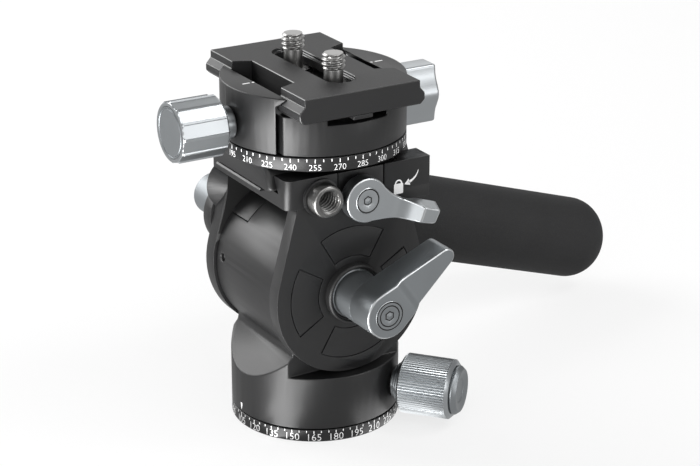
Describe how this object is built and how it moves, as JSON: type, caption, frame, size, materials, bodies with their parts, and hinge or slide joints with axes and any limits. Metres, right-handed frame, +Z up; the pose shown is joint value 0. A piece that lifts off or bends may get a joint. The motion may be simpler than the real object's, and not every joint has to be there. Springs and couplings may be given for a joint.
{
  "type": "fluid video head",
  "caption": "Compact fluid video head: panning base, drum tilt unit in a cradle, lock levers, balance dovetail, panoramic quick-release clamp with plate, and a short foam handle.",
  "frame": {"origin": "centre of the base's bottom face, on the tripod thread's axis", "axes": "+Z up along the pan axis, +X along the tilt axis towards the tilt lock lever, +Y towards the operator, so the lens looks along -Y"},
  "size_m": [0.0899, 0.1684, 0.1073],
  "materials": {
    "body_black": "satin black anodised",
    "metal_silver": "bead-blasted, grey anodised",
    "steel": "machined",
    "bronze": "turned",
    "grip_black": "matte foam sleeve",
    "inner_dark": "moulded, matte"
  },
  "bodies": {
    "base": {"base_plate": "body_black", "lower_scale_ring": "body_black", "tripod_bush": "steel", "pan_spindle": "steel", "base_screws": "steel", "spindle_nut": "steel"},
    "pan": {"pan_housing": "body_black", "pan_bush": "bronze", "pan_damper": "inner_dark", "drum_end_plate": "body_black", "tilt_damper": "inner_dark", "tilt_bush_near": "bronze", "tilt_bush_far": "bronze", "drum_cover": "body_black", "filler_screw": "inner_dark"},
    "pan_brake": {"pan_brake_shoe": "bronze"},
    "pan_lock": {"pan_lock_stud": "steel", "pan_lock_knob": "metal_silver", "pan_lock_cap": "metal_silver"},
    "cradle": {"cradle_platform": "body_black", "near_cheek": "body_black", "far_cheek": "body_black", "cheek_screws": "steel", "tilt_shaft": "steel", "hub_collar": "inner_dark", "far_hub_cap": "body_black", "accessory_insert": "steel"},
    "tilt_lock": {"tilt_lever": "metal_silver", "tilt_lever_screw": "steel", "tilt_clamp_stud": "steel"},
    "release": {"release_lever": "metal_silver", "release_screw": "steel"},
    "release_slider": {"release_jaw": "body_black"},
    "dovetail": {"dovetail_slab": "body_black", "upper_scale_ring": "body_black", "turntable_spindle": "steel", "slab_screws": "steel", "spindle_cap": "steel"},
    "turntable": {"clamp_body": "body_black", "turntable_bush": "bronze"},
    "clamp_slider": {"clamp_jaw": "body_black", "jaw_guide_pins": "steel"},
    "clamp_screw": {"clamp_knob": "metal_silver", "clamp_stud": "steel", "clamp_knob_cap": "metal_silver"},
    "turntable_brake": {"turntable_brake_shoe": "bronze"},
    "turntable_lock": {"turntable_lock_stud": "steel", "turntable_lock_knob": "steel"},
    "plate": {"quick_plate": "body_black", "plate_stops": "body_black"},
    "carriage_front": {"screw_washer_front": "steel"},
    "carriage_rear": {"screw_washer_rear": "steel"},
    "screw_front": {"camera_screw_front": "steel"},
    "screw_rear": {"camera_screw_rear": "steel"},
    "handle": {"handle_bracket": "body_black", "handle_tube": "steel", "handle_grip": "grip_black"},
    "handle_clamp": {"handle_knob": "metal_silver", "handle_screw": "steel"}
  },
  "joints": [
    {"name": "pan_turn", "type": "hinge", "parent": "base", "child": "pan", "pos_m": [0, 0, 0.011], "axis": [0, 0, 1], "continuous": true},
    {"name": "pan_brake_slide", "type": "slide", "parent": "pan", "child": "pan_brake", "axis": [0.766, 0.6428, 0], "range_m": [-0.0001, 0.0008]},
    {"name": "pan_lock_turn", "type": "hinge", "parent": "pan_brake", "child": "pan_lock", "pos_m": [0.02298, 0.01928, 0.0113], "axis": [0.766, 0.6428, 0], "range_deg": [-20, 340]},
    {"name": "tilt", "type": "hinge", "parent": "pan", "child": "cradle", "pos_m": [0, 0, 0.0425], "axis": [1, 0, 0], "range_deg": [-60, 90]},
    {"name": "tilt_lock_turn", "type": "hinge", "parent": "cradle", "child": "tilt_lock", "pos_m": [0.03, 0, 0.0425], "axis": [1, 0, 0], "range_deg": [-20, 75]},
    {"name": "release_turn", "type": "hinge", "parent": "cradle", "child": "release", "pos_m": [0.024, 0.0015, 0.0702], "axis": [1, 0, 0], "range_deg": [0, 40]},
    {"name": "release_jaw_slide", "type": "slide", "parent": "cradle", "child": "release_slider", "axis": [1, 0, 0], "range_m": [0, 0.0009]},
    {"name": "balance_slide", "type": "slide", "parent": "cradle", "child": "dovetail", "axis": [0, 1, 0], "range_m": [-0.012, 0.012]},
    {"name": "turntable_turn", "type": "hinge", "parent": "dovetail", "child": "turntable", "pos_m": [0, 0, 0.088], "axis": [0, 0, 1], "continuous": true},
    {"name": "clamp_jaw_slide", "type": "slide", "parent": "turntable", "child": "clamp_slider", "axis": [0, -1, 0], "range_m": [0, 0.0026]},
    {"name": "clamp_knob_turn", "type": "hinge", "parent": "clamp_slider", "child": "clamp_screw", "pos_m": [0, -0.03, 0.0891], "axis": [0, -1, 0], "range_deg": [0, 720]},
    {"name": "turntable_brake_slide", "type": "slide", "parent": "turntable", "child": "turntable_brake", "axis": [0, 1, 0], "range_m": [-0.0001, 0.0008]},
    {"name": "turntable_lock_turn", "type": "hinge", "parent": "turntable_brake", "child": "turntable_lock", "pos_m": [0, 0.03, 0.0882], "axis": [0, 1, 0], "range_deg": [-20, 340]},
    {"name": "plate_slide", "type": "slide", "parent": "turntable", "child": "plate", "axis": [1, 0, 0], "range_m": [-0.015, 0.015]},
    {"name": "carriage_front_slide", "type": "slide", "parent": "plate", "child": "carriage_front", "axis": [1, 0, 0], "range_m": [-0.003, 0.005]},
    {"name": "carriage_rear_slide", "type": "slide", "parent": "plate", "child": "carriage_rear", "axis": [1, 0, 0], "range_m": [-0.005, 0.003]},
    {"name": "screw_front_turn", "type": "hinge", "parent": "carriage_front", "child": "screw_front", "pos_m": [-0.011, 0, 0.1], "axis": [0, 0, 1], "continuous": true},
    {"name": "screw_rear_turn", "type": "hinge", "parent": "carriage_rear", "child": "screw_rear", "pos_m": [0.011, 0, 0.1], "axis": [0, 0, 1], "continuous": true},
    {"name": "handle_turn", "type": "hinge", "parent": "cradle", "child": "handle", "pos_m": [-0.023, -0.0106, 0.0537], "axis": [1, 0, 0], "range_deg": [-45, 40]},
    {"name": "handle_knob_turn", "type": "hinge", "parent": "handle", "child": "handle_clamp", "pos_m": [-0.03, -0.0106, 0.0537], "axis": [-1, 0, 0], "range_deg": [-180, 180]}
  ],
  "couplings": [
    {"joint": "pan_brake_slide", "follows": "pan_lock_turn", "m_per_rad": 0.00012732},
    {"joint": "release_jaw_slide", "follows": "release_turn", "m_per_rad": 0.0011459},
    {"joint": "clamp_jaw_slide", "follows": "clamp_knob_turn", "m_per_rad": 0.00019894},
    {"joint": "turntable_brake_slide", "follows": "turntable_lock_turn", "m_per_rad": 0.00012732}
  ]
}
